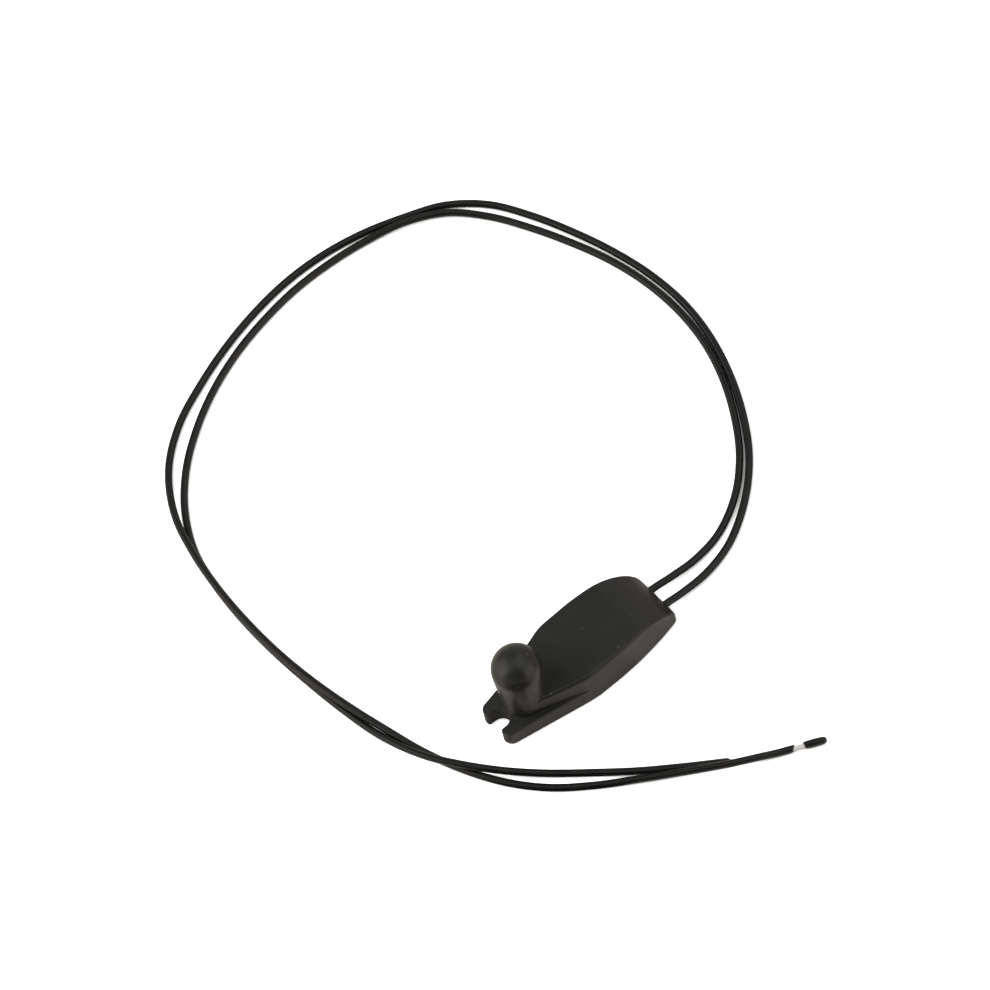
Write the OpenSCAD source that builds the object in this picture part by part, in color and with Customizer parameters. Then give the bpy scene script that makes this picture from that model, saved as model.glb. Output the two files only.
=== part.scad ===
// Air temperature sensor: a potted plastic housing with two free wires.
// Millimetres. X runs from the tongue to the cable end, Z is up, the origin is under the middle.

/* [Body] */
// Length of the moulding, from the end of the tongue to the cable end
body_l = 41.6; // [40:0.1:46]
// Greatest width, at the shoulder and behind it
body_w = 15.1; // [14:0.1:17]
// Height of the block above the underside
block_h = 9.0; // [8:0.1:11]
// Length of the straight flank behind the shoulder
flank_l = 7.5; // [4:0.1:9]
// Radius of the long curve that narrows each side to the cable end
flank_r = 60; // [52:1:80]
// Radius of the two upright corners at the cable end
end_corner_r = 1.0; // [0.6:0.1:2]

/* [Tongue] */
// Distance from the end of the tongue to the shoulder
tongue_l = 18.9; // [17.5:0.1:20]
// Width of the tongue at its end
tongue_w = 8.5; // [8:0.1:10]
// Thickness of the tongue and of the ledge beside the block
plate_t = 3.9; // [3:0.1:5]
// Radius of the outer corners of the tongue
lobe_corner_r = 1.4; // [0.6:0.1:1.5]

/* [Slot] */
// Width of the open slot for the fastening screw
slot_w = 4.1; // [3.4:0.1:4.6]
// Depth of the slot from the end of the tongue
slot_l = 3.5; // [2.6:0.1:3.6]
// Radius of the corners at the mouth of the slot
slot_corner_r = 0.5; // [0.2:0.1:0.8]

/* [Nose] */
// Radius of the curve from the top down to the cable end
nose_r = 12; // [10:0.1:14]
// Height of the upright face that the wires leave through
nose_end_h = 2.0; // [1.8:0.1:3]

/* [Bulb] */
// Distance from the end of the tongue to the axis of the bulb
bulb_inset = 7.9; // [7.8:0.1:9]
// Diameter of the round end of the block, under the neck
round_d = 8.8; // [8.4:0.1:9]
// Diameter of the neck where it leaves the top of the block
neck_d = 9.3; // [9:0.1:9.6]
// Diameter of the ball on the neck
bulb_d = 10; // [9.8:0.1:10.6]
// Full height from the underside to the top of the ball
bulb_h = 20.7; // [19:0.1:23]

/* [Shell] */
// Wall of the shell at the sides, the end and the neck
wall = 1.1; // [0.9:0.1:1.4]
// Thickness of the roof of the shell
roof_t = 1.2; // [0.9:0.1:1.6]
// How far the resin stays below the rim
resin_recess = 0.2; // [0.1:0.05:0.4]

/* [Sensing Parts] */
// Diameter of the dipped bead
bead_d = 2.4; // [1.8:0.1:3]
// Distance from the top of the bead to the top of its bore
bead_gap = 1.0; // [0.5:0.1:2]
// Diameter of the leads
lead_d = 0.4; // [0.3:0.05:0.5]
// Distance between the two leads in the neck
lead_pitch = 1.2; // [1.1:0.05:1.6]
// Radius of the bend where the leads turn to the cable end
lead_bend_r = 1.5; // [1:0.1:2.5]
// Outer diameter of the sleeves on the leads
sleeve_d = 0.9; // [0.75:0.05:1]
// Length of the sleeves
sleeve_l = 9; // [6:0.5:10]
// Position of the ferrules' inner end along X
splice_x = 2; // [0:0.5:4]
// Length of each lead inside its ferrule
lead_in = 1.5; // [1:0.1:2]
// Outer diameter of the crimped ferrules
splice_d = 1.7; // [1.5:0.1:2]
// Length of the ferrules
splice_l = 5; // [4:0.5:7]
// Diameter of the stripped conductor
conductor_d = 0.95; // [0.7:0.05:1]
// Bare conductor between a ferrule and the insulation of its wire
strip_l = 0.8; // [0.4:0.1:1.5]

/* [Wires] */
// Diameter of each wire over its insulation
wire_d = 1.5; // [1.4:0.05:1.55]
// Distance between the two wires where they leave the housing
wire_pitch = 4.4; // [4:0.1:5]
// Height of the wires above the underside where they leave the housing
wire_h = 1.7; // [1.4:0.05:1.8]
// Bare strands that show between the insulation and the slug
bare_l = 2.2; // [1:0.1:4]
// Length of the loose slug of insulation at the tip
slug_l = 4.5; // [3:0.1:7]

/* [Fits] */
// Clearance around each piece that is set in the resin
fit = 0.03; // [0.02:0.01:0.05]

/* [Output] */
// Which piece to show

/* [Hidden] */
$fn = 48;
hair = 0.002;
over = 1;
far = 4;

// Stations along the body.
x_tip = -body_l / 2;
x_end = body_l / 2;
x_shoulder = x_tip + tongue_l;
x_flank = x_shoulder + flank_l;
bulb_x = x_tip + bulb_inset;
slot_x = x_tip + slot_l - slot_w / 2;

half_w = body_w / 2;
tip_half = tongue_w / 2;
round_r = round_d / 2;
bore_r = round_r - wall;
bore_z = bulb_h - wall - bore_r;

// The neck is a cone that rises from the block and touches the ball.
neck_r = neck_d / 2;
ball_r = bulb_d / 2;
ball_z = bulb_h - ball_r;
neck_rise = ball_z - block_h;
neck_a = asin(ball_r / norm([neck_rise, neck_r])) - atan2(neck_r, neck_rise);
neck_top = ball_z - ball_r * sin(neck_a);

// The block's tapered wall touches its round end and runs to the shoulder.
shoulder_run = x_shoulder - bulb_x;
wall_a = atan2(half_w, shoulder_run) + acos(round_r / norm([shoulder_run, half_w])) - 90;

// The nose is tangent to the top and meets the end face at its full height.
nose_drop = block_h - nose_end_h;
nose_x = x_end - sqrt(nose_r * nose_r - (nose_r - nose_drop) * (nose_r - nose_drop));
nose_z = block_h - nose_r;

// Sensing parts.
bead_z = bore_z + bore_r - bead_gap - bead_d / 2;
wire_y = wire_pitch / 2;
lead_y = lead_pitch / 2;
splice_end = splice_x + splice_l;
wire_x = splice_end + strip_l;
lead_run = splice_x - bulb_x;
lead_a = atan2(wire_y - lead_y, lead_run);
sleeve_z = wire_h + lead_bend_r + 0.2;

// Routes of the two wires on the table. The third number is the height of the wire's underside
// in wire diameters: 0 lies on the table and 1.04 lies on the other wire.
route_a = [
  [25.9, 1.8, 0.45], [31.7, 1.7, 0.2], [38.9, 3.1, 0], [46.8, 7.4, 0],
  [53.5, 13.9, 0], [58.7, 21.7, 0], [62.7, 30.1, 0], [65.3, 39, 0],
  [66.3, 48.2, 0], [65.8, 57.6, 0], [64, 66.5, 0], [61.2, 74.8, 0],
  [57.6, 83.3, 0], [53.3, 91.3, 0], [47.9, 97.6, 0.17], [40.3, 101.7, 0.4],
  [31.9, 104.2, 0.07], [23.1, 105.4, 0], [14.1, 105.5, 0], [5, 104.3, 0],
  [-3.8, 102.1, 0], [-12.3, 98.7, 0], [-20.3, 94.1, 0], [-27.6, 88.3, 0],
  [-33.7, 81, 0], [-38.1, 72.2, 0], [-40, 62.5, 0], [-40.8, 52.9, 0],
  [-40.8, 43.1, 0], [-40.2, 33.6, 0], [-39.2, 24.1, 0], [-37.9, 14.6, 0.22],
  [-34.8, 5.4, 0.88], [-30.3, -2.3, 1.07], [-24.9, -8.7, 0.45], [-19, -14.6, 0],
  [-12.9, -20.3, 0], [-6.6, -25.9, 0], [0.1, -31.2, 0], [6.8, -36.2, 0],
];
route_b = [
  [25, -2.4, 0.45], [31.4, -2.1, 0.2], [39.2, 0.1, 0], [47.8, 5.5, 0],
  [54.8, 12.5, 0], [60.1, 20.7, 0], [64.2, 29.6, 0], [67, 39, 0],
  [68.2, 48.5, 0], [67.7, 58, 0], [65.9, 67.3, 0], [63.2, 76.2, 0],
  [59.8, 84.9, 0], [55.3, 93.2, 0], [48.9, 99.4, 0], [40.9, 103.2, 0],
  [32.3, 106.2, 0], [23.4, 107.9, 0], [14.4, 108.2, 0], [5.2, 107.1, 0],
  [-4, 104.9, 0], [-13.1, 101.7, 0], [-22, 97.5, 0], [-29.8, 91.1, 0],
  [-35.7, 81.7, 0.57], [-38.8, 71.4, 1.04], [-40.3, 61.6, 1.04], [-40.9, 52.1, 1.04],
  [-40.8, 42.4, 1.04], [-39.9, 32.8, 1.04], [-38.4, 23.7, 1.04], [-35.9, 14.9, 0.42],
  [-33.8, 6.3, 0], [-30.7, -2.2, 0], [-26.5, -10.1, 0], [-21.1, -16.9, 0],
  [-14.6, -22.5, 0], [-7.6, -27.5, 0.1], [-0.7, -32.5, 0.47], [6.3, -37.3, 0.77],
  [12.3, -40.4, 0.4], [15.6, -41.9, 0], [18, -43.1, 0],
];
ring_sides = 8;

function at_height(p) = [p[0], p[1], wire_d * (0.5 + p[2])];
function route(points, side) = concat(
  [[wire_x, side * wire_y, wire_h], [x_end, side * wire_y, wire_h]],
  [for (p = points) at_height(p)]
);
function unit(v) = v / norm(v);
function heading(p, i) = unit(p[min(i + 1, len(p) - 1)] - p[max(i - 1, 0)]);
function beside(t) = unit(cross([0, 0, 1], t));
function ring(p, i, r) =
  let (t = heading(p, i), s = beside(t), u = cross(t, s))
  [for (k = [0 : ring_sides - 1])
    p[i] + r * (cos(360 * k / ring_sides) * s + sin(360 * k / ring_sides) * u)];
function tube_points(p, r) = [for (i = [0 : len(p) - 1]) each ring(p, i, r)];
function tube_faces(n) = concat(
  [[for (k = [0 : ring_sides - 1]) k]],
  [for (i = [0 : n - 2], k = [0 : ring_sides - 1])
    let (a = i * ring_sides + k, b = i * ring_sides + (k + 1) % ring_sides)
    [a, a + ring_sides, b + ring_sides, b]],
  [[for (k = [ring_sides - 1 : -1 : 0]) (n - 1) * ring_sides + k]]
);

path_a = route(route_a, 1);
path_b = route(route_b, -1);
tip_b = path_b[len(path_b) - 1];
tip_dir = unit(tip_b - path_b[len(path_b) - 2]);
tip_a = atan2(tip_dir[1], tip_dir[0]);

// The waste at a sharp corner outside a fillet circle of radius r centred at c.
module nip(c, r, t1, out, t2) {
  difference() {
    polygon([c, t1, out, t2]);
    translate(c) circle(r);
  }
}

// Outline from the shoulder to the cable end.
module flank_plan() {
  f = [x_flank, half_w - flank_r + hair];
  r = end_corner_r;
  c = [x_end - r, f[1] + sqrt((flank_r - r) * (flank_r - r) - (x_end - r - f[0]) * (x_end - r - f[0]))];
  touch = f + flank_r * unit(c - f);
  difference() {
    translate([x_shoulder, -half_w]) square([x_end - x_shoulder, body_w]);
    for (s = [0, 1]) mirror([0, s]) {
      difference() {
        translate([x_flank, half_w - far]) square([x_end - x_flank + over, far + over]);
        translate(f) circle(flank_r, $fn = 180);
      }
      nip(c, r, [x_end, c[1]], [x_end + over, touch[1] + over], touch);
    }
  }
}

// The same outline on the inside of the wall, in straight lengths.
module inner_flank_plan() {
  run = x_end - wall - x_flank;
  r = flank_r - wall;
  side = [for (x = [0 : run / 5 : run + hair]) [x_flank + x, half_w - flank_r + sqrt(r * r - x * x)]];
  polygon(concat(
    [[x_shoulder, half_w - wall]],
    side,
    [for (k = [len(side) - 1 : -1 : 0]) [side[k][0], -side[k][1]]],
    [[x_shoulder, wall - half_w]]
  ));
}

// Outline of the block's tapered walls, which touch its round end.
module wedge_plan(inset) {
  r = round_r - inset - hair;
  h = half_w - inset;
  x = bulb_x + (h - r / cos(wall_a)) / tan(wall_a);
  touch = [bulb_x - r * sin(wall_a), r * cos(wall_a)];
  polygon([
    [bulb_x, 0], touch, [x, h], [x + far, h - over],
    [x + far, over - h], [x, -h], [touch[0], -touch[1]],
  ]);
}

// Outline of the tongue with its rounded corners and open slot.
module tongue_plan() {
  a = atan2(half_w - tip_half, tongue_l);
  r = lobe_corner_r;
  c = [x_tip + r, tip_half + r * tan(a) - r / cos(a)];
  m = [x_tip + slot_corner_r, slot_w / 2 + slot_corner_r];
  difference() {
    polygon([
      [x_tip, tip_half], [x_shoulder, half_w], [x_shoulder + far, half_w - over],
      [x_shoulder + far, over - half_w], [x_shoulder, -half_w], [x_tip, -tip_half],
    ]);
    for (s = [0, 1]) mirror([0, s]) {
      nip(c, r, [x_tip, c[1]], [x_tip - over, tip_half + over], c + r * [-sin(a), cos(a)]);
      nip(m, slot_corner_r, [x_tip, m[1]], [x_tip - over, 0], [m[0], slot_w / 2]);
    }
    translate([slot_x, 0]) circle(d = slot_w);
    translate([x_tip - over, -slot_w / 2]) square([slot_x - x_tip + over, slot_w]);
  }
}

// The waste above the rounded nose, in side view, drawn in by an inset.
module nose_waste(inset) {
  difference() {
    translate([nose_x, 0]) square([x_end - nose_x + over, block_h + over]);
    translate([nose_x, nose_z + hair]) circle(nose_r - inset, $fn = 180);
  }
}

// An outline raised from a height to the roof and rounded at the nose.
module under_nose(inset, z) {
  difference() {
    translate([0, 0, z]) linear_extrude(block_h - inset - z) children();
    rotate([90, 0, 0]) translate([0, 0, -half_w - over])
      linear_extrude(body_w + 2 * over) nose_waste(inset);
  }
}

module cavity(z) {
  under_nose(roof_t, z) inner_flank_plan();
  translate([0, 0, z]) linear_extrude(block_h - roof_t - z) wedge_plan(wall);
  translate([bulb_x, 0, z]) cylinder(h = bore_z - z, r = bore_r);
  translate([bulb_x, 0, bore_z]) sphere(bore_r);
}

// The round end of the block with the neck and the ball on it.
module bulb() {
  foot_r = neck_r - (block_h - plate_t) * tan(neck_a);
  translate([bulb_x, 0, 0]) {
    translate([0, 0, over]) cylinder(h = block_h - over, r = round_r);
    translate([0, 0, plate_t])
      cylinder(h = neck_top - plate_t, r1 = foot_r, r2 = ball_r * cos(neck_a) - 0.02);
    translate([0, 0, ball_z]) sphere(ball_r);
  }
}

// A round bar along X.
module bar(x0, x1, y, z, d) {
  translate([x0, y, z]) rotate([0, 90, 0]) cylinder(h = x1 - x0, d = d);
}

module wire_holes(x0, grow) {
  for (s = [-1, 1]) bar(x0, x_end + over, s * wire_y, wire_h, wire_d + 2 * grow);
}

module housing() {
  color([0.06, 0.06, 0.065]) difference() {
    union() {
      linear_extrude(plate_t) tongue_plan();
      translate([0, 0, over]) linear_extrude(block_h - over) wedge_plan(0);
      under_nose(0, 0) flank_plan();
      bulb();
    }
    cavity(-over);
    wire_holes(x_end - 3 * wall, fit);
  }
}

// The bead with the short skirt of its coating on the leads.
module bead(grow) {
  r = bead_d / 2 + grow;
  translate([bulb_x, 0, bead_z]) {
    sphere(r);
    translate([0, 0, -1.5 * r]) cylinder(h = 1.5 * r, r1 = lead_y + lead_d / 2 + 0.15, r2 = 0.95 * r);
  }
}

module lead(s, grow) {
  d = lead_d + 2 * grow;
  translate([bulb_x, s * lead_y, wire_h]) rotate([0, 0, s * lead_a]) {
    translate([0, 0, lead_bend_r]) cylinder(h = bead_z - wire_h - lead_bend_r, d = d);
    translate([lead_bend_r, 0, lead_bend_r]) rotate([90, 0, 0]) rotate([0, 0, 180])
      rotate_extrude(angle = 90) translate([lead_bend_r, 0]) circle(d = d);
    bar(lead_bend_r, lead_run / cos(lead_a) + lead_in, 0, 0, d);
  }
}

module lead_sleeve(s, grow) {
  translate([bulb_x, s * lead_y, sleeve_z]) cylinder(h = sleeve_l, d = sleeve_d + 2 * grow);
}

module splice(s) {
  color([0.72, 0.72, 0.7]) difference() {
    bar(splice_x, splice_end, s * wire_y, wire_h, splice_d);
    bar(splice_x - over, splice_end + over, s * wire_y, wire_h, conductor_d + 2 * fit);
  }
}

module conductor(s) {
  color([0.75, 0.72, 0.66])
    bar(splice_x + splice_l / 2, wire_x, s * wire_y, wire_h, conductor_d);
}

module potting() {
  color([0.09, 0.085, 0.08]) difference() {
    union() {
      cavity(resin_recess);
      wire_holes(x_end - 3 * wall, fit);
    }
    translate([x_end, -half_w, 0]) cube([2 * over, body_w, block_h]);
    bead(fit);
    for (s = [-1, 1]) {
      lead(s, fit);
      lead_sleeve(s, fit);
      bar(splice_x - fit, splice_end + fit, s * wire_y, wire_h, splice_d + 2 * fit);
      bar(splice_x, wire_x, s * wire_y, wire_h, conductor_d + 2 * fit);
    }
    wire_holes(wire_x, 0);
  }
}

module thermistor_bead() {
  color([0.1, 0.09, 0.08]) difference() {
    bead(0);
    for (s = [-1, 1]) lead(s, fit);
  }
}

module thermistor_lead_a() {
  color([0.75, 0.75, 0.73]) lead(1, 0);
}

module thermistor_lead_b() {
  color([0.75, 0.75, 0.73]) lead(-1, 0);
}

module sleeve(s) {
  color([0.85, 0.83, 0.78]) difference() {
    lead_sleeve(s, 0);
    lead(s, fit);
  }
}

module lead_sleeve_a() {
  sleeve(1);
}

module lead_sleeve_b() {
  sleeve(-1);
}

module splice_a() {
  splice(1);
}

module splice_b() {
  splice(-1);
}

module conductor_a() {
  conductor(1);
}

module conductor_b() {
  conductor(-1);
}

module wire_a() {
  color([0.04, 0.04, 0.045])
    polyhedron(points = tube_points(path_a, wire_d / 2), faces = tube_faces(len(path_a)));
}

module wire_b() {
  color([0.04, 0.04, 0.045])
    polyhedron(points = tube_points(path_b, wire_d / 2), faces = tube_faces(len(path_b)));
}

module at_tip() {
  translate([tip_b[0], tip_b[1], wire_d / 2]) rotate([0, 0, tip_a]) rotate([0, 90, 0]) children();
}

module wire_b_strands() {
  color([0.8, 0.8, 0.78]) at_tip() cylinder(h = bare_l + slug_l - 0.2, d = conductor_d);
}

module wire_b_slug() {
  color([0.04, 0.04, 0.045]) at_tip() translate([0, 0, bare_l]) difference() {
    cylinder(h = slug_l, d = wire_d);
    translate([0, 0, -over]) cylinder(h = slug_l + 2 * over, d = conductor_d + 2 * fit);
  }
}

housing();
potting();
thermistor_bead();
thermistor_lead_a();
thermistor_lead_b();
lead_sleeve_a();
lead_sleeve_b();
splice_a();
splice_b();
conductor_a();
conductor_b();
wire_a();
wire_b();
wire_b_strands();
wire_b_slug();
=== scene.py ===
"""The looks of the air temperature sensor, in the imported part's frame.

The scene is in metres. Sizes and places in this script are in millimetres unless they say otherwise.
"""

import math

import bpy
import numpy as np
from mathutils import Matrix, Vector


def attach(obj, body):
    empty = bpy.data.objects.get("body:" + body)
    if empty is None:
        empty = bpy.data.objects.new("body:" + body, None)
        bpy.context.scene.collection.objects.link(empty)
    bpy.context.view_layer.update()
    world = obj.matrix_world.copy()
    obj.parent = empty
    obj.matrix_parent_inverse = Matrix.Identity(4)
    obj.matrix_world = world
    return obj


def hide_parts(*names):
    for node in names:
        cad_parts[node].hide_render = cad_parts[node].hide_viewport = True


MM = 0.001
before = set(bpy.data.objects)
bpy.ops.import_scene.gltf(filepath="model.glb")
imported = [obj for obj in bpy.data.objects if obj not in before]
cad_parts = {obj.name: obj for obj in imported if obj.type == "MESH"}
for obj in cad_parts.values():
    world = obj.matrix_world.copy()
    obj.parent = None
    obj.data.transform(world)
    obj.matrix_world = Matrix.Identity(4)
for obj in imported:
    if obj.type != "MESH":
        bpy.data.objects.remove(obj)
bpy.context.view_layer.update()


# Camera

# The photograph's view, as directions in the part's frame, and its scale at the part's origin.
RIGHT = Vector((0.7578, -0.6396, -0.1294))
UP = Vector((0.6114, 0.6268, 0.4830))
TOWARD = Vector((-0.2278, -0.4451, 0.8660))
PX_PER_MM = 5.17
FRAME_PX = 990
ORIGIN_PX = (578.1, 666.9)
SENSOR_W = 36
# How far off the camera stands and how far it sees, in metres.
DISTANCE, FAR_CLIP = 1.547, 20


def make_camera():
    """A long lens that looks down at 60 degrees, aimed at the middle of the frame."""
    data = bpy.data.cameras.new("camera")
    data.sensor_width = SENSOR_W
    data.lens = PX_PER_MM / MM * DISTANCE / FRAME_PX * data.sensor_width
    data.clip_end = FAR_CLIP
    across = (FRAME_PX / 2 - ORIGIN_PX[0]) / PX_PER_MM * MM
    upward = (ORIGIN_PX[1] - FRAME_PX / 2) / PX_PER_MM * MM
    eye = TOWARD * DISTANCE
    back = (eye - RIGHT * across - UP * upward).normalized()
    right = UP.cross(back).normalized()
    up = back.cross(right)
    cam = bpy.data.objects.new("camera", data)
    turn = Matrix((right, up, back)).transposed().to_4x4()
    cam.matrix_world = Matrix.Translation(eye) @ turn
    bpy.context.scene.collection.objects.link(cam)
    bpy.context.scene.camera = cam


# Materials


def maths(tree, operation, a, b):
    """A sum, product or other operation on two values, each a number or an output."""
    node = tree.nodes.new("ShaderNodeMath")
    node.operation = operation
    for socket, x in zip(node.inputs, (a, b)):
        if isinstance(x, (int, float)):
            socket.default_value = x
        else:
            tree.links.new(x, socket)
    return node.outputs[0]


class Shader:
    """A Principled material with small helpers for its nodes, all in object coordinates."""

    def __init__(self, name, **values):
        self.material = bpy.data.materials.new(name)
        self.material.use_nodes = True
        self.tree = self.material.node_tree
        self.main = self.tree.nodes["Principled BSDF"]
        for key, value in values.items():
            self.main.inputs[key.replace("_", " ")].default_value = value
        self.place = self.tree.nodes.new("ShaderNodeTexCoord").outputs["Object"]

    def link(self, out, socket):
        """Joins an output to a socket."""
        self.tree.links.new(out, socket)

    def noise(self, size_mm, detail=3.0, rough=0.5, stretch=None):
        """Noise whose features measure about size_mm."""
        node = self.tree.nodes.new("ShaderNodeTexNoise")
        node.inputs["Scale"].default_value = 1000 / size_mm
        node.inputs["Detail"].default_value = detail
        node.inputs["Roughness"].default_value = rough
        place = self.place
        if stretch:
            scale = self.tree.nodes.new("ShaderNodeVectorMath")
            scale.operation = "MULTIPLY"
            scale.inputs[1].default_value = stretch
            self.link(self.place, scale.inputs[0])
            place = scale.outputs[0]
        self.link(place, node.inputs["Vector"])
        return node.outputs["Fac"]

    def spots(self, size_mm, low, high):
        """Round specks of about size_mm: 1 inside, 0 outside."""
        node = self.tree.nodes.new("ShaderNodeTexVoronoi")
        node.inputs["Scale"].default_value = 1000 / size_mm
        self.link(self.place, node.inputs["Vector"])
        return self.span(node.outputs["Distance"], low, high, 1, 0)

    def speck(self, place, radius):
        """One soft round speck at a place in millimetres: 1 inside, 0 outside."""
        node = self.tree.nodes.new("ShaderNodeVectorMath")
        node.operation = "DISTANCE"
        node.inputs[1].default_value = [x * MM for x in place]
        self.link(self.place, node.inputs[0])
        return self.span(node.outputs["Value"], 0.6 * radius * MM, 1.4 * radius * MM, 1, 0)

    def height(self):
        """Height above the table, in metres like every place that a node gives."""
        node = self.tree.nodes.new("ShaderNodeSeparateXYZ")
        self.link(self.place, node.inputs[0])
        return node.outputs["Z"]

    def span(self, value, low, high, to_low=0.0, to_high=1.0):
        """A value remapped between two pairs of limits and clamped."""
        node = self.tree.nodes.new("ShaderNodeMapRange")
        for i, x in enumerate((low, high, to_low, to_high), 1):
            node.inputs[i].default_value = x
        self.link(value, node.inputs[0])
        return node.outputs[0]

    def sway(self, noise, to_low=0.0, to_high=1.0):
        """The middle of a noise's range remapped."""
        return self.span(noise, 0.3, 0.7, to_low, to_high)

    def mix(self, factor, a, b):
        """A colour between a and b."""
        node = self.tree.nodes.new("ShaderNodeMix")
        node.data_type = "RGBA"
        self.link(factor, node.inputs["Factor"])
        for socket, x in ((node.inputs[6], a), (node.inputs[7], b)):
            if isinstance(x, tuple):
                socket.default_value = (*x, 1)
            else:
                self.link(x, socket)
        return node.outputs[2]

    def bump(self, height, depth_mm, strength=1.0, under=None):
        """The normal of a relief, laid over another one if that is given."""
        node = self.tree.nodes.new("ShaderNodeBump")
        node.inputs["Strength"].default_value = strength
        node.inputs["Distance"].default_value = depth_mm * MM
        self.link(height, node.inputs["Height"])
        if under is not None:
            self.link(under, node.inputs["Normal"])
        return node.outputs[0]

    def finish(self, colour=None, roughness=None, normal=None):
        """The material, with what is given joined to its main node."""
        for out, key in ((colour, "Base Color"), (roughness, "Roughness"), (normal, "Normal")):
            if out is not None:
                self.link(out, self.main.inputs[key])
        return self.material


# Specks of dust that show on the moulding: place and radius.
SPECKS = (
    (3.6, 1.3, 9.0, 0.13), (6.1, -6.7, 9.0, 0.18), (12.5, -2.8, 8.8, 0.14),
    (-9.7, -5.2, 8.5, 0.26), (-10.4, -1.2, 19.9, 0.2), (-16.6, -0.7, 19.1, 0.15),
    (-16.1, -0.6, 19.6, 0.12), (-18.7, -1.3, 13.6, 0.13),
)  # fmt: skip


def moulded_plastic():
    """Satin black moulding with a smoother bulb: spark grain, faint flow marks and a little dust."""
    s = Shader("moulded_plastic", IOR=1.5)
    cloud = s.noise(9, 3, 0.55)
    grain = s.noise(0.16, 2, 0.6)
    flow = s.noise(2.4, 2, 0.5, (0.5, 1.0, 1.0))
    colour = s.mix(s.span(cloud, 0.35, 0.65), (0.0125, 0.0124, 0.0116), (0.0155, 0.0154, 0.0144))
    dust = maths(s.tree, "MULTIPLY", s.spots(2.6, 0.03, 0.06), s.span(s.noise(7, 1), 0.44, 0.47))
    for x, y, z, radius in SPECKS:
        dust = maths(s.tree, "MAXIMUM", dust, s.speck((x, y, z), radius))
    colour = s.mix(maths(s.tree, "MULTIPLY", dust, 0.6), colour, (0.13, 0.125, 0.115))
    polish = s.span(s.height(), BLOCK_H * MM, (BLOCK_H + 1.5) * MM, 0.36, 0.3)
    rough = maths(s.tree, "ADD", s.sway(grain, -0.03, 0.03), s.sway(cloud, -0.02, 0.03))
    rough = maths(s.tree, "ADD", rough, polish)
    normal = s.bump(flow, 0.02, 0.25)
    normal = s.bump(grain, 0.012, 0.3, normal)
    return s.finish(colour, rough, normal)


def wire_plastic():
    """Extruded insulation: smooth, a slight sheen, rubbed dull in places."""
    s = Shader("wire_plastic", IOR=1.5)
    rub = s.noise(5, 3, 0.6)
    fine = s.noise(0.12, 2, 0.6)
    colour = s.mix(s.span(rub, 0.35, 0.7), (0.003, 0.003, 0.0031), (0.0055, 0.0052, 0.005))
    rough = maths(s.tree, "ADD", s.sway(rub, 0.3, 0.4), s.sway(fine, -0.03, 0.03))
    return s.finish(colour, rough, s.bump(fine, 0.006, 0.5, s.bump(s.noise(1.1, 2), 0.02, 0.3)))


def cast_resin():
    """Dark potting resin: satin, a little uneven, with a few pinholes."""
    s = Shader("cast_resin", IOR=1.53)
    cloud = s.noise(5, 4, 0.55)
    holes = s.spots(1.7, 0.05, 0.09)
    colour = s.mix(s.sway(cloud), (0.011, 0.0105, 0.010), (0.02, 0.019, 0.0175))
    rough = s.sway(cloud, 0.26, 0.42)
    normal = s.bump(s.noise(3.2, 2), 0.12, 0.5)
    normal = s.bump(maths(s.tree, "SUBTRACT", s.noise(0.3, 2), holes), 0.05, 0.4, normal)
    return s.finish(colour, rough, normal)


def tinned_metal(name, light, dark, rough, metallic=1.0):
    """Tin-plated metal with fine drawing marks and a cloudy sheen."""
    s = Shader(name, Metallic=metallic)
    cloud = s.noise(0.9, 3, 0.55)
    marks = s.noise(0.07, 2, 0.6, (0.25, 1, 1))
    colour = s.mix(s.sway(cloud), dark, light)
    roughness = maths(s.tree, "ADD", s.sway(cloud, rough, rough + 0.12), s.sway(marks, -0.04, 0.04))
    return s.finish(colour, roughness, s.bump(marks, 0.006, 0.5))


def dipped_coating():
    """Glossy dipped epoxy on the bead."""
    s = Shader("dipped_coating", IOR=1.55, Coat_Weight=0.5)
    cloud = s.noise(0.8, 3)
    colour = s.mix(s.sway(cloud), (0.014, 0.01, 0.008), (0.03, 0.022, 0.016))
    return s.finish(colour, s.sway(cloud, 0.14, 0.26), s.bump(s.noise(0.6, 2), 0.04, 0.4))


def sleeve_plastic():
    """Thin milky insulating sleeve."""
    s = Shader("sleeve_plastic", IOR=1.38)
    cloud = s.noise(1.2, 3)
    colour = s.mix(s.sway(cloud), (0.6, 0.57, 0.5), (0.72, 0.7, 0.64))
    return s.finish(colour, s.sway(cloud, 0.3, 0.42), s.bump(s.noise(0.1, 2), 0.006, 0.5))


# How near a wire has to be to darken the table's glow, which paints shade into the gaps between the wires.
GAP_SHADE_REACH = 1.2


def table_top():
    """Plain pale surface that glows, with painted shade where the glow dims in the narrow gaps between the
    wires.
    """
    s = Shader("table_top", Roughness=0.85, Specular_IOR_Level=0.0)
    # Painted shade: the glow follows ambient occlusion, so it dims in the narrow gaps between the wires
    # where shade falls.
    gaps = s.tree.nodes.new("ShaderNodeAmbientOcclusion")
    gaps.inputs["Distance"].default_value = GAP_SHADE_REACH * MM
    gaps.samples = 4
    s.link(s.span(gaps.outputs["AO"], 0.38, 0.62, 0, 0.9), s.main.inputs["Emission Strength"])
    s.main.inputs["Emission Color"].default_value = (1, 1, 1, 1)
    colour = s.mix(s.sway(s.noise(60, 2)), (0.92, 0.92, 0.91), (0.94, 0.94, 0.93))
    return s.finish(colour)


# Meshes


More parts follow.
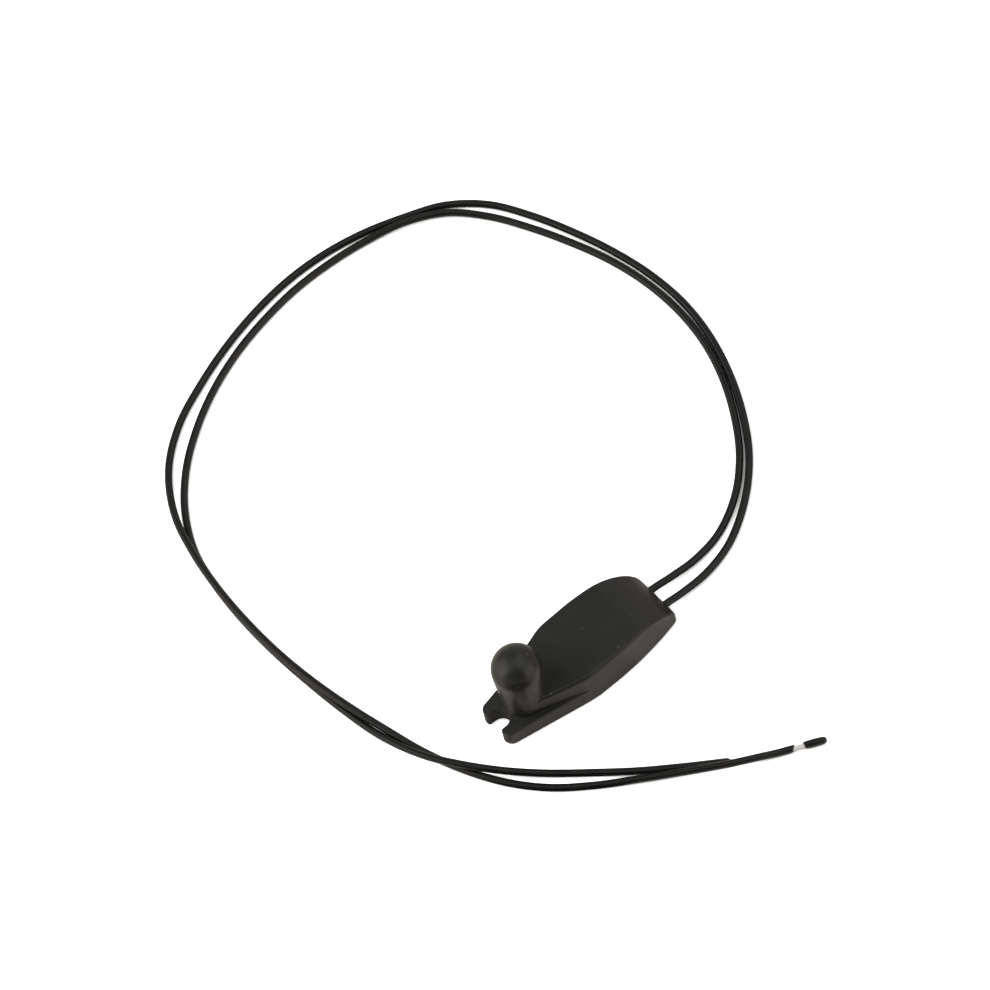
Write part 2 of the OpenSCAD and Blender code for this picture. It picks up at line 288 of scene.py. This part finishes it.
def mesh_object(name, points, faces, material, normals=None):
    """A smooth object from points in millimetres, with its own normals if they are given."""
    mesh = bpy.data.meshes.new(name)
    corners = [tuple(p) for p in np.asarray(points) * MM]
    mesh.from_pydata(corners, [], [tuple(int(i) for i in f) for f in faces])
    mesh.validate()
    mesh.polygons.foreach_set("use_smooth", [True] * len(mesh.polygons))
    if normals is not None:
        mesh.normals_split_custom_set_from_vertices([tuple(n) for n in normals])
    mesh.materials.append(material)
    obj = bpy.data.objects.new(name, mesh)
    bpy.context.scene.collection.objects.link(obj)
    return obj


def slope(field, p, step=0.01):
    """Gradient of a distance field at an array of points."""
    out = np.empty_like(p)
    for axis in range(3):
        shift = np.zeros(3)
        shift[axis] = step
        out[:, axis] = (field(*(p + shift).T) - field(*(p - shift).T)) / (2 * step)
    return out


# How many times a surface's points are moved onto it, and the longest move in cells.
PULLS, LONGEST_PULL = 5, 0.6
# The least square of a slope that a move is divided by.
LEAST_SLOPE = 0.2


def surface(field, low, high, cell):
    """Points, faces and normals of the surface where a distance field is zero.

    Each cell that the surface crosses gets one point, which is then moved onto the surface.
    """
    axes = [np.arange(a, b + cell, cell) for a, b in zip(low, high)]
    value = field(*np.meshgrid(*axes, indexing="ij"))
    size = [n - 1 for n in value.shape]
    total = np.zeros((*size, 3))
    count = np.zeros(size)
    quads = []
    for a in range(3):
        b, c = (a + 1) % 3, (a + 2) % 3
        first = np.moveaxis(value, a, 0)[:-1]
        second = np.moveaxis(value, a, 0)[1:]
        edge = np.moveaxis((first < 0) != (second < 0), 0, a)
        start = np.moveaxis(first, 0, a)[edge]
        stop = np.moveaxis(second, 0, a)[edge]
        index = np.argwhere(edge)
        point = np.stack([axes[i][index[:, i]] for i in range(3)], 1)
        point[:, a] += start / (start - stop) * cell
        ring = []
        for db, dc in ((0, 0), (-1, 0), (-1, -1), (0, -1)):
            near = index.copy()
            near[:, b] += db
            near[:, c] += dc
            np.add.at(total, tuple(near.T), point)
            np.add.at(count, tuple(near.T), 1)
            ring.append(near)
        ring = np.stack(ring, 1)
        turned = start > 0
        ring[turned] = ring[turned][:, ::-1]
        quads.append(ring)
    used = count > 0
    number = np.full(size, -1)
    number[used] = np.arange(used.sum())
    points = total[used] / count[used][:, None]
    quads = np.concatenate(quads)
    faces = number[quads[..., 0], quads[..., 1], quads[..., 2]]
    for _ in range(PULLS):
        g = slope(field, points)
        move = field(*points.T)[:, None] * g / np.maximum((g * g).sum(1), LEAST_SLOPE)[:, None]
        points -= np.clip(move, -LONGEST_PULL * cell, LONGEST_PULL * cell)
    normals = slope(field, points)
    return points, faces, normals / np.linalg.norm(normals, axis=1)[:, None]


# Housing

TIP, END = -20.8, 20.8
# The photographed sides are fuller than the solid's by FULL, which the rim takes up.
FULL = 0.33
HALF_W, TIP_HALF = 7.55 + FULL, 4.25
SHOULDER, FLANK_X, FLANK_R = -1.9, 3.0, 72.0
END_CORNER_R, LOBE_R, SLOT_CORNER_R = 1.0, 1.4, 0.5
PLATE_T, BLOCK_H = 3.9, 9.0
# The photographed roof sinks a little towards the bulb, and the plate rises towards the block.
ROOF_DROP, PLATE_RISE = 0.6, 0.25
SLOT_W, SLOT_X = 4.1, -19.35
NOSE_R, NOSE_END_H = 12.0, 2.0
BULB_X, ROUND_R, NECK_R = -12.9, 4.4, 4.65
BALL_R, BALL_Z = 5.0, 15.7
# Half the length over which the ball's curve eases into the neck, and what that draws it in by.
BLEND, DRAWN_IN = 0.7, 0.02
BULB_FOOT = 2
WALL = 1.1 + FULL
RECESS_H = 0.6
WIRE_Y, WIRE_Z, WIRE_R = 2.2, 1.7, 0.75

# Roundings of the edges: wedge and flanks, tongue and its top, the rims below, and the recess.
WEDGE_R, TONGUE_R, PLATE_R = 0.4, 0.4, 0.2
BLOCK_RIM_R, PLATE_RIM_R = 0.3, 0.4
RECESS_R, MOUTH_R = 0.1, 0.12
# The roof's edge: its rounding at the bulb, and what is added to it from one x to another.
ROOF_EDGE_R = 0.65
ROOF_EDGE_STEPS = ((0.3, -4, -1), (-0.4, -1, 7), (-0.2, 14, 19))
# From where to where along x the roof sinks, the plate rises and the fillet on the plate grows.
ROOF_SINKS, PLATE_RISES, PLATE_FILLETED = (1, -9), (-21, -12), (-2.5, -6)
# That fillet, and how far the plate runs on inside the block.
PLATE_FILLET, PLATE_INSIDE = 0.08, 1
# The fillet between bulb and wedge. It grows over the heights SEAM_GROWS and over the last SEAM_BACK
# before the bulb's middle, and fades from SEAM_TOP below the block's height up to the sunk roof.
SEAM_FILLET, SEAM_LEAST = 0.6, 0.03
SEAM_GROWS, SEAM_BACK, SEAM_TOP = (4.5, 6), 2, 2
# A short rod inside each wire that gives the housing a fillet round it.
STUB_GAP, STUB_HALF_L, STUB_FILLET = 0.03, 0.5, 0.12

# The angles of the wedge's walls, the neck and the tongue's sides, and where the nose starts.
RUN = SHOULDER - BULB_X
WALL_A = math.atan2(HALF_W, RUN) + math.acos(ROUND_R / math.hypot(RUN, HALF_W)) - math.pi / 2
RISE = BALL_Z - BLOCK_H
NECK_A = math.asin(BALL_R / math.hypot(RISE, NECK_R)) - math.atan2(NECK_R, RISE)
SIDE_A = math.atan2(HALF_W - TIP_HALF, SHOULDER - TIP)
DROP = BLOCK_H - NOSE_END_H
NOSE_X = END - math.sqrt(NOSE_R**2 - (NOSE_R - DROP) ** 2)

# The box that is searched for the housing's surface, and the size of its cells.
SEARCH_LOW = (TIP - 0.5, -HALF_W - 0.55, -0.45)
SEARCH_HIGH = (END + 1.4, HALF_W + 0.55, BALL_Z + BALL_R + 0.5)
CELL, QUICK_CELL = 0.18, 0.36


def both(a, b, r):
    """What is inside two distance fields, with the edge between them rounded by r."""
    u, v = np.maximum(a + r, 0), np.maximum(b + r, 0)
    return np.minimum(np.maximum(a, b), -r) + np.hypot(u, v)


def either(a, b, r):
    """What is inside one of two distance fields, with a fillet of radius r between them."""
    return -both(-a, -b, r)


def fade(x, start, stop):
    """A soft step from 0 at start to 1 at stop."""
    t = np.clip((x - start) / (stop - start), 0, 1)
    return t * t * (3 - 2 * t)


def capsule_like(along, across, angle, r):
    """Round of radius r at the origin that continues as a straight side at an angle."""
    ahead = along * math.cos(angle) + across * math.sin(angle)
    side = across * math.cos(angle) - along * math.sin(angle) - r
    return np.where(ahead > 0, side, np.hypot(along, across) - r)


def housing_field(x, y, z):
    """Distance to the housing's surface: negative inside."""
    y = np.abs(y)
    flank = np.where(x > FLANK_X, np.hypot(x - FLANK_X, y - HALF_W + FLANK_R) - FLANK_R, y - HALF_W)
    outline = both(flank, x - END, END_CORNER_R)
    block = both(capsule_like(x - BULB_X, y, WALL_A, ROUND_R), outline, WEDGE_R)
    nose = np.hypot(x - NOSE_X, z - BLOCK_H + NOSE_R) - NOSE_R
    roof = np.where(x > NOSE_X, nose, z - BLOCK_H + ROOF_DROP * fade(x, *ROOF_SINKS))
    edge_r = ROOF_EDGE_R
    for more, start, stop in ROOF_EDGE_STEPS:
        edge_r = edge_r + more * fade(x, start, stop)
    body = both(both(block, roof, edge_r), -z, BLOCK_RIM_R)

    side = (y - TIP_HALF) * math.cos(SIDE_A) - (x - TIP) * math.sin(SIDE_A)
    tongue = both(both(side, outline, TONGUE_R), TIP - x, LOBE_R)
    slot = np.hypot(np.maximum(x - SLOT_X, 0), y) - SLOT_W / 2
    tongue = both(tongue, -slot, SLOT_CORNER_R)
    top = z - PLATE_T - PLATE_RISE * fade(x, *PLATE_RISES)
    plate = both(both(tongue, top, PLATE_R), -z, PLATE_RIM_R)
    plate = np.maximum(plate, x - SHOULDER - PLATE_INSIDE)
    body = either(body, plate, PLATE_FILLET * fade(x, *PLATE_FILLETED))

    out = np.hypot(x - BULB_X, y)
    eased = 0
    for shift in (-BLEND, 0, BLEND):
        eased = eased + capsule_like(BALL_Z - z + shift, out, -NECK_A, BALL_R + DRAWN_IN)
    bulb = np.maximum(eased / 3, BULB_FOOT - z)
    seam = SEAM_FILLET * fade(z, *SEAM_GROWS) * fade(z, BLOCK_H - ROOF_DROP, BLOCK_H - SEAM_TOP)
    seam = seam * fade(x, BULB_X - SEAM_BACK, BULB_X)
    body = either(body, bulb, SEAM_LEAST + seam)

    stub = np.hypot(y - WIRE_Y, z - WIRE_Z) - WIRE_R + STUB_GAP
    body = either(body, np.maximum(stub, np.abs(x - END) - STUB_HALF_L), STUB_FILLET)
    recess = both(block + WALL, z - RECESS_H, RECESS_R)
    return np.maximum(both(body, -recess, MOUTH_R), -z)


def make_housing():
    """The moulded shell in place of the CAD housing."""
    cell = CELL
    points, faces, normals = surface(housing_field, SEARCH_LOW, SEARCH_HIGH, cell)
    obj = mesh_object("housing_moulding", points, faces, moulded_plastic(), normals)
    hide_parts("housing")
    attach(obj, "root")


# Wires

# Each wire's route on the table. The third number is its height in wire diameters.
ROUTE_A = [
    (25.9, 1.8, 0.45), (31.7, 1.7, 0.2), (38.9, 3.1, 0), (46.8, 7.4, 0),
    (53.5, 13.9, 0), (58.7, 21.7, 0), (62.7, 30.1, 0), (65.3, 39, 0),
    (66.3, 48.2, 0), (65.8, 57.6, 0), (64, 66.5, 0), (61.2, 74.8, 0),
    (57.6, 83.3, 0), (53.3, 91.3, 0), (47.9, 97.6, 0.17), (40.3, 101.7, 0.4),
    (31.9, 104.2, 0.07), (23.1, 105.4, 0), (14.1, 105.5, 0), (5, 104.3, 0),
    (-3.8, 102.1, 0), (-12.3, 98.7, 0), (-20.3, 94.1, 0), (-27.6, 88.3, 0),
    (-33.7, 81, 0), (-38.1, 72.2, 0), (-40, 62.5, 0), (-40.8, 52.9, 0),
    (-40.8, 43.1, 0), (-40.2, 33.6, 0), (-39.2, 24.1, 0), (-37.65, 14.6, 0.22),
    (-34.8, 5.4, 0.88), (-30.3, -2.3, 1.07), (-24.9, -8.7, 0.45), (-19, -14.6, 0),
    (-12.9, -20.3, 0), (-6.6, -25.9, 0), (0.1, -31.2, 0), (6.8, -36.2, 0),
]  # fmt: skip
ROUTE_B = [
    (25, -2.4, 0.45), (31.4, -2.1, 0.2), (39.2, 0.1, 0), (47.8, 5.5, 0),
    (54.8, 12.5, 0), (60.1, 20.7, 0), (64.2, 29.6, 0), (67, 39, 0),
    (68.2, 48.5, 0), (67.7, 58, 0), (65.9, 67.3, 0), (63.2, 76.2, 0),
    (59.8, 84.9, 0), (55.3, 93.2, 0), (48.9, 99.4, 0), (40.9, 103.2, 0),
    (32.3, 106.2, 0), (23.4, 107.9, 0), (14.4, 108.2, 0), (5.2, 107.1, 0),
    (-4, 104.9, 0), (-13.1, 101.7, 0), (-22, 97.5, 0), (-29.8, 91.1, 0),
    (-35.7, 81.7, 0.57), (-38.8, 71.4, 1.04), (-40.3, 61.6, 1.04), (-40.9, 52.1, 1.04),
    (-40.8, 42.4, 1.04), (-39.9, 32.8, 1.04), (-38.4, 23.7, 1.04), (-36.15, 14.9, 0.42),
    (-33.8, 6.3, 0), (-30.7, -2.2, 0), (-26.5, -10.1, 0), (-21.1, -16.9, 0),
    (-14.6, -22.5, 0), (-7.6, -27.5, 0.1), (-0.7, -32.5, 0.47), (6.3, -37.3, 0.77),
    (12.3, -40.4, 0.4), (15.6, -41.9, 0), (18, -43.1, 0),
]  # fmt: skip
# Each wire: name, route, side of the middle, length past its route and slant of its cut.
WIRES = (("a", ROUTE_A, 1, 1.1, 0.5), ("b", ROUTE_B, -1, 0.2, -0.5))
# Where the wires start inside the housing, their sides and the steps along their paths.
WIRE_START = 7.8
WIRE_SIDES = 24
PATH_STEP, QUICK_STEP = 0.9, 2.0
# Over what length a cut end is slanted, and the slug's own slant.
SLANT_L, SLUG_SLANT_L, SLUG_SLANT = 3.0, 1.6, 0.25
# The conductor: its radius, the number and radius of its strands, and the length of a turn.
CORE_R = 0.475
STRANDS, STRAND_R, TWIST = 9, 0.13, 6.0
# How far it reaches back into wire a and wire b, and how far it ends behind wire a's cut.
CORE_BACK, BARE_BACK, CORE_SUNK = 1.5, 0.6, 0.05
# The bare length of wire b, its slug, the length of the strands that are shown and the slug's lift in
# wire radii.
BARE_L, SLUG_L = 2.0, 4.5
STRANDS_L = BARE_L + SLUG_L + 0.2
SLUG_LIFT = 0.07
# Outline of the slug: distance from its near end and share of the wire's radius.
SLUG = (
    (0.0, 0.72), (0.05, 0.83), (0.14, 0.91), (0.32, 0.98), (0.6, 1.03),
    (1.3, 1.06), (2.2, 1.07), (3.1, 1.04), (3.6, 0.99), (3.9, 0.93),
    (4.12, 0.85), (4.3, 0.72), (4.42, 0.54), (4.48, 0.34), (4.5, 0.12),
)  # fmt: skip
# Its bore in the same terms, from the closed end back to the mouth.
BORE_R = (CORE_R + 0.05) / WIRE_R
BORE = ((SLUG_L - 0.2, 0.12), (SLUG_L - 0.26, BORE_R), (0.3, BORE_R), (0.0, BORE_R))
# A cut end of soft insulation: distance back from the cut and share of the radius. It takes up CUT_L.
CUT = ((0.7, 1.0), (0.46, 0.985), (0.28, 0.945), (0.14, 0.88), (0.05, 0.8), (0.0, 0.7))
CUT_L = 0.75


def wire_points(route, side):
    """The points that a wire runs through, from inside the housing to its far end."""
    start = [(x, side * WIRE_Y, WIRE_Z) for x in (WIRE_START, END)]
    return np.array(start + [(x, y, 2 * WIRE_R * (0.5 + lift)) for x, y, lift in route])


def smooth_path(points, step):
    """A centripetal spline through the points, sampled about every step."""
    p = np.vstack([2 * points[0] - points[1], points, 2 * points[-1] - points[-2]])
    out = []
    for p0, p1, p2, p3 in zip(p, p[1:], p[2:], p[3:]):
        t1 = np.linalg.norm(p1 - p0) ** 0.5
        t2 = t1 + np.linalg.norm(p2 - p1) ** 0.5
        t3 = t2 + np.linalg.norm(p3 - p2) ** 0.5
        n = max(2, round(np.linalg.norm(p2 - p1) / step))
        t = np.linspace(t1, t2, n, endpoint=False)[:, None]
        a1 = ((t1 - t) * p0 + t * p1) / t1
        a2 = ((t2 - t) * p1 + (t - t1) * p2) / (t2 - t1)
        a3 = ((t3 - t) * p2 + (t - t2) * p3) / (t3 - t2)
        b1 = ((t2 - t) * a1 + t * a2) / t2
        b2 = ((t3 - t) * a2 + (t - t1) * a3) / (t3 - t1)
        out.append(((t2 - t) * b1 + (t - t1) * b2) / (t2 - t1))
    path = np.vstack(out + [points[-1:]])
    path[:, 2] = np.maximum(path[:, 2], WIRE_R)
    return path


def sweep(path, radii, sides, along=None):
    """Points and faces of a closed round tube along a path that never stands upright."""
    along = np.gradient(path, axis=0) if along is None else np.tile(along, (len(path), 1))
    along /= np.linalg.norm(along, axis=1)[:, None]
    beside = np.cross((0, 0, 1), along)
    beside /= np.linalg.norm(beside, axis=1)[:, None]
    above = np.cross(along, beside)
    a = np.arange(sides) * 2 * math.pi / sides
    ring = np.cos(a)[None, :, None] * beside[:, None] + np.sin(a)[None, :, None] * above[:, None]
    points = (path[:, None] + np.asarray(radii).reshape(-1, 1, 1) * ring).reshape(-1, 3)
    n = len(path)
    faces = [list(range(sides))[::-1]]
    for i in range(n - 1):
        for k in range(sides):
            m = (k + 1) % sides
            faces.append([i * sides + k, i * sides + m, (i + 1) * sides + m, (i + 1) * sides + k])
    faces.append([(n - 1) * sides + k for k in range(sides)])
    return points, faces


def join(parts):
    """One set of points and faces from several."""
    points, faces, at = [], [], 0
    for p, f in parts:
        points.append(p)
        faces += [[i + at for i in face] for face in f]
        at += len(p)
    return np.vstack(points), faces


def with_cut(path, radius):
    """A tube's path and radii with a softened cut edge at the far end."""
    end = path[-1]
    along = end - path[-2]
    along /= np.linalg.norm(along)
    body = path[np.linalg.norm(path - end, axis=1) > CUT_L]
    line = [end - along * s for s, _ in CUT]
    return np.vstack([body] + line), [radius] * len(body) + [radius * share for _, share in CUT]


def slant(points, end, along, reach, amount):
    """A tube's points, sheared over a reach so that its cut end stands askew."""
    beside = np.cross((0, 0, 1), along)
    out = points - end
    share = np.clip(1 - np.linalg.norm(out, axis=1) / reach, 0, 1)
    return points - np.outer(amount * share * (out @ beside) / WIRE_R, along)


def even(t):
    """Strands that lie close all along."""
    return np.ones_like(t)


def swell(t):
    """Strands that stand off by up to a quarter just past the insulation, where t is the share of length."""
    return 1 + 0.25 * np.sin(np.pi * np.clip((t - 0.1) / 0.35, 0, 1))


def strand_bundle(start, along, length, spread):
    """Fine strands twisted round a core, standing off from it by spread(t)."""
    beside = np.cross((0, 0, 1), along)
    beside /= np.linalg.norm(beside)
    above = np.cross(along, beside)
    s = np.linspace(0, length, 40)
    axis = start + s[:, None] * along
    ring_r = (CORE_R - STRAND_R) * spread(s / length)
    parts = [sweep(axis, ring_r - 0.5 * STRAND_R, sides=12)]
    for k in range(STRANDS):
        a = 2 * math.pi * (k / STRANDS + s / TWIST)
        line = axis + (ring_r * np.cos(a))[:, None] * beside + (ring_r * np.sin(a))[:, None] * above
        parts.append(sweep(line, [STRAND_R] * len(s), sides=8))
    return join(parts)


def flat_shade_caps(obj):
    """Keeps the round sides smooth and the many-sided end caps flat."""
    for poly in obj.data.polygons:
        poly.use_smooth = len(poly.vertices) <= 4


def make_wires():
    """Both wires, each with what belongs to its end."""
    insulation = wire_plastic()
    tin = tinned_metal("tinned_strands", (0.95, 0.93, 0.91), (0.84, 0.82, 0.8), 0.42, 0.45)
    for name, route, side, more, askew in WIRES:
        points = wire_points(route, side)
        along = points[-1] - points[-2]
        along /= np.linalg.norm(along)
        points[-1] += more * along
        path = smooth_path(points, PATH_STEP)
        end = path[-1]
        line, radii = with_cut(path, WIRE_R)
        tube_points, faces = sweep(line, radii, WIRE_SIDES)
        tube_points = slant(tube_points, end, along, SLANT_L, askew)
        tube = mesh_object(f"lead_wire_{name}", tube_points, faces, insulation)
        flat_shade_caps(tube)
        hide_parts(f"wire_{name}")
        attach(tube, "root")
        if name == "a":
            core = strand_bundle(end - CORE_BACK * along, along, CORE_BACK - CORE_SUNK, even)
            extra = [mesh_object("wire_a_core", *core, tin)]
        else:
            extra = make_tip(end, along, insulation, tin)
        for piece in extra:
            flat_shade_caps(piece)
            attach(piece, "root")


def make_tip(end, along, insulation, tin):
    """The bare strands and the loose slug of insulation at the end of wire b."""
    bundle = strand_bundle(end - BARE_BACK * along, along, STRANDS_L, swell)
    strands = mesh_object("bare_strands", *bundle, tin)
    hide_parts("wire_b_strands")
    start = end + BARE_L * along + np.array((0, 0, SLUG_LIFT * WIRE_R))
    profile = SLUG + BORE
    line = np.array([start + t * along for t, _ in profile])
    points, faces = sweep(line, [WIRE_R * share for _, share in profile], WIRE_SIDES, along)
    # The bore's ring meets the outline's first ring in place of the two caps.
    last = (len(line) - 1) * WIRE_SIDES
    faces = faces[1:-1]
    for k in range(WIRE_SIDES):
        m = (k + 1) % WIRE_SIDES
        faces.append([last + k, last + m, m, k])
    points = slant(points, start, -along, SLUG_SLANT_L, SLUG_SLANT)
    slug = mesh_object("loose_slug", points, faces, insulation)
    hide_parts("wire_b_slug")
    return [strands, slug]


# What stays CAD


def dress_nodes():
    """Materials for the CAD nodes whose shape is right as it is."""
    lead = tinned_metal("lead_metal", (0.8, 0.79, 0.76), (0.62, 0.61, 0.59), 0.22)
    ferrule = tinned_metal("ferrule_metal", (0.78, 0.76, 0.72), (0.6, 0.58, 0.55), 0.3)
    copper = tinned_metal("inner_strands", (0.82, 0.8, 0.76), (0.64, 0.62, 0.58), 0.34)
    sleeve = sleeve_plastic()
    finishes = {"potting": cast_resin(), "thermistor_bead": dipped_coating()}
    for side in "ab":
        finishes[f"thermistor_lead_{side}"] = lead
        finishes[f"lead_sleeve_{side}"] = sleeve
        finishes[f"splice_{side}"] = ferrule
        finishes[f"conductor_{side}"] = copper
    for name, material in finishes.items():
        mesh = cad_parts[name].data
        mesh.materials.clear()
        mesh.materials.append(material)


# Stage and light

# Half the table's width, and the tone in which the cards show it as a painted reflection.
TABLE = 3000
WARM = (0.58, 0.535, 0.495)
# Cards just above the table that only reflections see: name, colour, glow, height and outline. They are
# painted reflections: the table's tone, painted light beside the housing, painted shade near the tongue and
# neck, and the photographer's dark side.
FLAGS = (
    ("table_flag", WARM, 0, 0.06, ((-900, -900), (900, -900), (900, 900), (-900, 900))),
    # Painted light: cards that glow to brighten the reflections beside the housing and the plate.
    ("right_front_flag", WARM, 0.38, 0.08, ((-6, -17), (22, -16), (70, -40), (70, -140), (-2, -70))),
    ("side_flag", WARM, 0.24, 0.08, ((-4, -7.5), (9, -7.5), (9, -13), (-4, -11.5))),
    ("nose_side_flag", WARM, 0.5, 0.1, ((9, -7.5), (21, -5), (26, -9), (9, -13))),
    ("plate_flag", WARM, 0.25, 0.14, ((-20.5, -4.7), (-4, -7.7), (-4, -8.7), (-20.5, -5.7))),
    # Painted shade: dark cards for the shade on the table by the tip, in the slot and by the lobe and the
    # neck; then the photographer's dark side and a dimmer table on the right.
    ("tip_flag", (0.26, 0.24, 0.22), 0, 0.08, ((-21, -9), (-21, 9), (-22.3, 9), (-22.3, -9))),
    ("slot_flag", (0.3, 0.28, 0.265), 0, 0.08, ((-17, -2), (-17, 2), (-21, 2), (-21, -2))),
    ("lobe_flag", (0.17, 0.155, 0.145), 0, 0.1,
     ((-26, -5.5), (-19, -7.2), (-15, -8.5), (-16, -13), (-30, -10))),
    ("neck_flag", (0.43, 0.395, 0.365), 0, 0.1, ((-15, -8.5), (-9.5, -9.2), (-10, -14), (-16, -13))),
    ("front_flag", (0.02, 0.02, 0.02), 0, 0.1,
     ((-10, -21), (-34, -5), (-170, -14), (-110, -200), (-22, -110))),
    ("right_flag", (0.34, 0.31, 0.29), 0, 0.12, ((26, -30), (300, -200), (300, 260), (26, 60))),
)  # fmt: skip


def make_stage():
    """The table that the part lies on."""
    corners = [(-TABLE, -TABLE, 0), (TABLE, -TABLE, 0), (TABLE, TABLE, 0), (-TABLE, TABLE, 0)]
    floor = mesh_object("floor", corners, [range(len(corners))], table_top())
    floor.visible_diffuse = False


def make_flag(name, colour, glow, z, outline):
    """One card that only reflections see: a painted reflection, and painted light where it glows."""
    s = Shader(name, Roughness=0.9, Specular_IOR_Level=0.0, Emission_Strength=glow)
    for key in ("Base Color", "Emission Color"):
        s.main.inputs[key].default_value = (*colour, 1)
    flag = mesh_object(name, [(x, y, z) for x, y in outline], [range(len(outline))], s.material)
    flag.visible_camera = flag.visible_diffuse = False
    flag.visible_shadow = flag.visible_transmission = False


def direction(azimuth, elevation):
    """The unit vector towards a place in the sky, from two angles in degrees."""
    a, e = math.radians(azimuth), math.radians(elevation)
    return Vector((math.cos(a) * math.cos(e), math.sin(a) * math.cos(e), math.sin(e)))


TENT_LEVEL = 0.4
# The tent's tones at the table's height and overhead.
TENT_SIDES, TENT_TOP = (1.0, 0.935, 0.9, 1), (1.0, 1.0, 0.955, 1)
# Broad soft patches of the tent: azimuth, elevation and half-width in degrees, and the level added.
PATCHES = (
    (156, 22, 46, 0.78),
    (-60, 10, 36, 0.7),
    (-22, 64, 42, 0.4),
    (72, 57, 26, -0.28),
    (98, 8, 28, -0.25),
    (-125, 60, 20, -0.12),
)
# Where the tent is cut away on the camera's side: the same, but the last number is the share that is
# taken off, where 1 is all of it. The share that is left never falls below DARKEST.
DARK_SIDE = ((-130, 11, 48, 2.8), (-158, -1, 26, 0.9))
DARKEST = 0.03
# The window light: its place in the sky, how far off it is and its width in metres, power and tone.
WINDOW_AT, WINDOW_FAR, WINDOW_W = (155, 42), 1.2, 1.3
WINDOW_POWER, WINDOW_TONE = 20, (1.0, 0.99, 0.97)


def make_tent():
    """A pale tent, brighter at the left and right, with the dark side of the camera in front."""
    world = bpy.data.worlds.new("tent")
    bpy.context.scene.world = world
    world.use_nodes = True
    tree = world.node_tree
    nodes, links = tree.nodes, tree.links
    back = nodes["Background"]
    place = nodes.new("ShaderNodeTexCoord").outputs["Generated"]

    def patch(azimuth, elevation, half_width, level):
        """A round patch that fades out from its middle."""
        dot = nodes.new("ShaderNodeVectorMath")
        dot.operation = "DOT_PRODUCT"
        dot.inputs[1].default_value = direction(azimuth, elevation)
        links.new(place, dot.inputs[0])
        span = nodes.new("ShaderNodeMapRange")
        span.interpolation_type = "SMOOTHSTEP"
        span.inputs[1].default_value = math.cos(math.radians(half_width))
        span.inputs[2].default_value = 1
        span.inputs[4].default_value = level
        links.new(dot.outputs["Value"], span.inputs[0])
        return span.outputs[0]

    level = TENT_LEVEL
    for values in PATCHES:
        level = maths(tree, "ADD", patch(*values), level)
    for values in DARK_SIDE:
        left = maths(tree, "SUBTRACT", 1.0, patch(*values))
        level = maths(tree, "MULTIPLY", level, maths(tree, "MAXIMUM", left, DARKEST))
    split = nodes.new("ShaderNodeSeparateXYZ")
    links.new(place, split.inputs[0])
    warmth = nodes.new("ShaderNodeMix")
    warmth.data_type = "RGBA"
    warmth.inputs[6].default_value = TENT_SIDES
    warmth.inputs[7].default_value = TENT_TOP
    links.new(split.outputs["Z"], warmth.inputs["Factor"])
    links.new(warmth.outputs[2], back.inputs["Color"])
    links.new(level, back.inputs["Strength"])


def make_window():
    """A broad light from behind on the left, whose reflection is the tent's brightest patch."""
    data = bpy.data.lights.new("window", "AREA")
    data.shape = "SQUARE"
    data.size = WINDOW_W
    data.energy = WINDOW_POWER
    data.color = WINDOW_TONE
    lamp = bpy.data.objects.new("window", data)
    lamp.location = WINDOW_FAR * direction(*WINDOW_AT)
    lamp.rotation_euler = direction(*WINDOW_AT).to_track_quat("Z", "Y").to_euler()
    lamp.visible_glossy = False
    bpy.context.scene.collection.objects.link(lamp)


make_camera()
make_wires()
make_housing()
dress_nodes()
make_stage()
make_tent()
for flag_values in FLAGS:
    make_flag(*flag_values)
make_window()
bpy.context.scene.view_settings.view_transform = "Standard"
